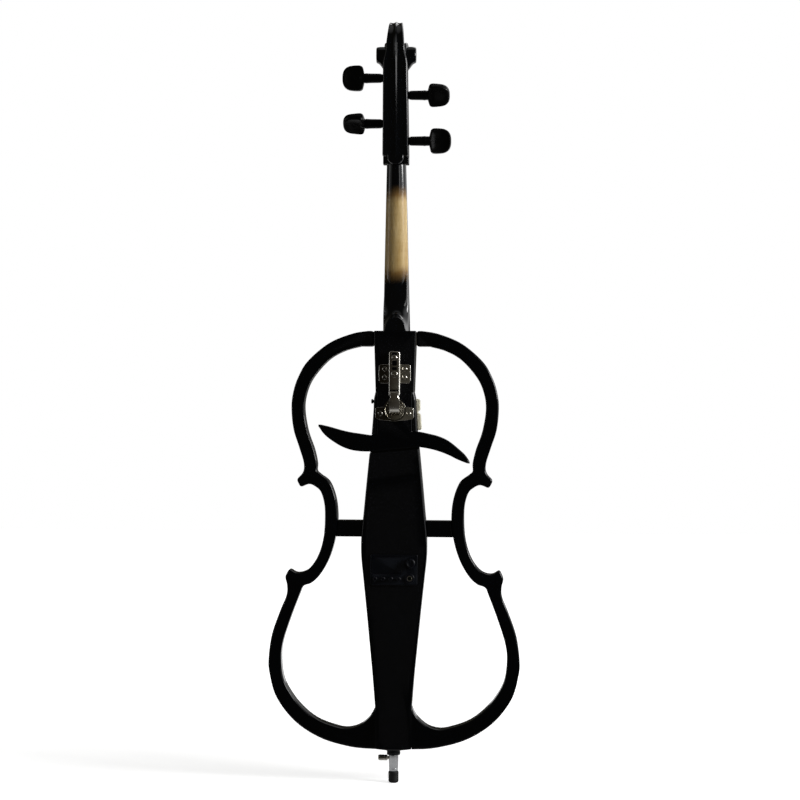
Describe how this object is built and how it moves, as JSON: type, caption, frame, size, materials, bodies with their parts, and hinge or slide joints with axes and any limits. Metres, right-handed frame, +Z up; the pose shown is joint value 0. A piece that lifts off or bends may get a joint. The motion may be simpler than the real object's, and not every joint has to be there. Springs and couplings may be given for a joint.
{
  "type": "electric cello",
  "caption": "Electric cello with an open frame body, a fold-out chest rest on a cup hinge, wound strings on turning pegs and a sliding endpin.",
  "frame": {"origin": "middle of the flat face under the endpin foot", "axes": "+Z runs up the instrument to the scroll, +Y is the front with the strings, +X is the bass side"},
  "size_m": [0.4266, 0.1702, 1.2876],
  "materials": {
    "lacquer": "black gloss lacquer on wood",
    "neck_maple": "gloss maple, fading to black at both ends",
    "ebony": "satin black",
    "bridge_maple": "plain maple",
    "string_steel": "fine wound wire",
    "pickup_strip": "satin",
    "nickel": "bright nickel",
    "chrome": "polished",
    "black_plastic": "fine grain",
    "rubber": "matte",
    "bare_maple": "bare, greyed",
    "circuit": "green board",
    "battery_case": "satin"
  },
  "bodies": {
    "root": {"spine": "lacquer", "neck_block": "lacquer", "frame_left": "lacquer", "frame_right": "lacquer", "crossbar_left": "lacquer", "crossbar_right": "lacquer", "neck": "neck_maple", "fingerboard": "ebony", "nut": "ebony", "saddle": "ebony", "tailpiece": "ebony", "bridge": "bridge_maple", "string_c": "string_steel", "string_g": "string_steel", "string_d": "string_steel", "string_a": "string_steel", "bridge_pickup": "pickup_strip", "hinge_mounting_plate": "nickel", "hinge_arm": "nickel", "plate_screw_lower_left": "nickel", "plate_screw_lower_right": "nickel", "plate_screw_upper_left": "nickel", "plate_screw_upper_right": "nickel", "clamp_screw": "nickel", "adjusting_screw": "nickel", "output_jack": "nickel", "endpin_ferrule": "chrome", "control_panel": "black_plastic", "endpin_collar": "black_plastic", "flank_button": "black_plastic", "tail_gut": "black_plastic", "packing_block": "bare_maple", "circuit_board": "circuit", "battery": "battery_case"},
    "endpin": {"endpin_rod": "chrome", "endpin_foot": "rubber"},
    "thumbscrew": {"endpin_thumbscrew": "nickel"},
    "chest_rest": {"chest_rest": "lacquer", "hinge_cup": "nickel", "hinge_link": "nickel", "cup_screw_left": "nickel", "cup_screw_right": "nickel"},
    "battery_door": {"battery_door": "black_plastic"},
    "volume_knob": {"volume_knob": "black_plastic"},
    "tone_knob_1": {"tone_knob_1": "black_plastic"},
    "tone_knob_2": {"tone_knob_2": "black_plastic"},
    "tone_knob_3": {"tone_knob_3": "black_plastic"},
    "tone_knob_4": {"tone_knob_4": "black_plastic"},
    "peg_c": {"peg_c": "ebony"},
    "tuner_screw_c": {"tuner_screw_c": "nickel"},
    "tuner_lever_c": {"tuner_lever_c": "nickel"},
    "peg_g": {"peg_g": "ebony"},
    "tuner_screw_g": {"tuner_screw_g": "nickel"},
    "tuner_lever_g": {"tuner_lever_g": "nickel"},
    "peg_d": {"peg_d": "ebony"},
    "tuner_screw_d": {"tuner_screw_d": "nickel"},
    "tuner_lever_d": {"tuner_lever_d": "nickel"},
    "peg_a": {"peg_a": "ebony"},
    "tuner_screw_a": {"tuner_screw_a": "nickel"},
    "tuner_lever_a": {"tuner_lever_a": "nickel"}
  },
  "joints": [
    {"name": "endpin_slide", "type": "slide", "parent": "root", "child": "endpin", "axis": [0, 0, -1], "range_m": [0, 0.24]},
    {"name": "thumbscrew_turn", "type": "hinge", "parent": "root", "child": "thumbscrew", "pos_m": [0, 0, 0.042], "axis": [1, 0, 0], "continuous": true},
    {"name": "chest_rest_fold", "type": "hinge", "parent": "root", "child": "chest_rest", "pos_m": [0, -0.03, 0.66099], "axis": [-1, 0, 0], "range_deg": [0, 90]},
    {"name": "peg_c_turn", "type": "hinge", "parent": "root", "child": "peg_c", "pos_m": [0, -0.02256, 1.087], "axis": [1, 0, 0], "continuous": true},
    {"name": "peg_g_turn", "type": "hinge", "parent": "root", "child": "peg_g", "pos_m": [0, -0.03616, 1.162], "axis": [1, 0, 0], "continuous": true},
    {"name": "peg_d_turn", "type": "hinge", "parent": "root", "child": "peg_d", "pos_m": [0, -0.04123, 1.19], "axis": [1, 0, 0], "continuous": true},
    {"name": "peg_a_turn", "type": "hinge", "parent": "root", "child": "peg_a", "pos_m": [0, -0.02773, 1.1155], "axis": [1, 0, 0], "continuous": true},
    {"name": "battery_door_open", "type": "hinge", "parent": "root", "child": "battery_door", "pos_m": [-0.0363, -0.0241, 0.3705], "axis": [0, 0, -1], "range_deg": [0, 95]},
    {"name": "volume_knob_turn", "type": "hinge", "parent": "root", "child": "volume_knob", "pos_m": [0.028, -0.03, 0.375], "axis": [0, -1, 0], "range_deg": [-140, 140]},
    {"name": "tone_knob_1_turn", "type": "hinge", "parent": "root", "child": "tone_knob_1", "pos_m": [-0.0317, -0.028, 0.348], "axis": [0, -1, 0], "range_deg": [-140, 140]},
    {"name": "tone_knob_2_turn", "type": "hinge", "parent": "root", "child": "tone_knob_2", "pos_m": [-0.0184, -0.028, 0.348], "axis": [0, -1, 0], "range_deg": [-140, 140]},
    {"name": "tone_knob_3_turn", "type": "hinge", "parent": "root", "child": "tone_knob_3", "pos_m": [-0.0051, -0.028, 0.348], "axis": [0, -1, 0], "range_deg": [-140, 140]},
    {"name": "tone_knob_4_turn", "type": "hinge", "parent": "root", "child": "tone_knob_4", "pos_m": [0.0082, -0.028, 0.348], "axis": [0, -1, 0], "range_deg": [-140, 140]},
    {"name": "tuner_screw_c_turn", "type": "hinge", "parent": "root", "child": "tuner_screw_c", "pos_m": [0.021, 0.07162, 0.22315], "axis": [0, 0.9708, -0.2399], "range_deg": [-600, 600]},
    {"name": "tuner_lever_c_tilt", "type": "hinge", "parent": "root", "child": "tuner_lever_c", "pos_m": [0.021, 0.07545, 0.23869], "axis": [1, 0, 0], "range_deg": [-3, 3]},
    {"name": "tuner_screw_g_turn", "type": "hinge", "parent": "root", "child": "tuner_screw_g", "pos_m": [0.007, 0.07162, 0.22315], "axis": [0, 0.9708, -0.2399], "range_deg": [-600, 600]},
    {"name": "tuner_lever_g_tilt", "type": "hinge", "parent": "root", "child": "tuner_lever_g", "pos_m": [0.007, 0.07545, 0.23869], "axis": [1, 0, 0], "range_deg": [-3, 3]},
    {"name": "tuner_screw_d_turn", "type": "hinge", "parent": "root", "child": "tuner_screw_d", "pos_m": [-0.007, 0.07162, 0.22315], "axis": [0, 0.9708, -0.2399], "range_deg": [-600, 600]},
    {"name": "tuner_lever_d_tilt", "type": "hinge", "parent": "root", "child": "tuner_lever_d", "pos_m": [-0.007, 0.07545, 0.23869], "axis": [1, 0, 0], "range_deg": [-3, 3]},
    {"name": "tuner_screw_a_turn", "type": "hinge", "parent": "root", "child": "tuner_screw_a", "pos_m": [-0.021, 0.07162, 0.22315], "axis": [0, 0.9708, -0.2399], "range_deg": [-600, 600]},
    {"name": "tuner_lever_a_tilt", "type": "hinge", "parent": "root", "child": "tuner_lever_a", "pos_m": [-0.021, 0.07545, 0.23869], "axis": [1, 0, 0], "range_deg": [-3, 3]}
  ],
  "couplings": [
    {"joint": "tuner_lever_c_tilt", "follows": "tuner_screw_c_turn", "ratio": 0.005},
    {"joint": "tuner_lever_g_tilt", "follows": "tuner_screw_g_turn", "ratio": 0.005},
    {"joint": "tuner_lever_d_tilt", "follows": "tuner_screw_d_turn", "ratio": 0.005},
    {"joint": "tuner_lever_a_tilt", "follows": "tuner_screw_a_turn", "ratio": 0.005}
  ]
}
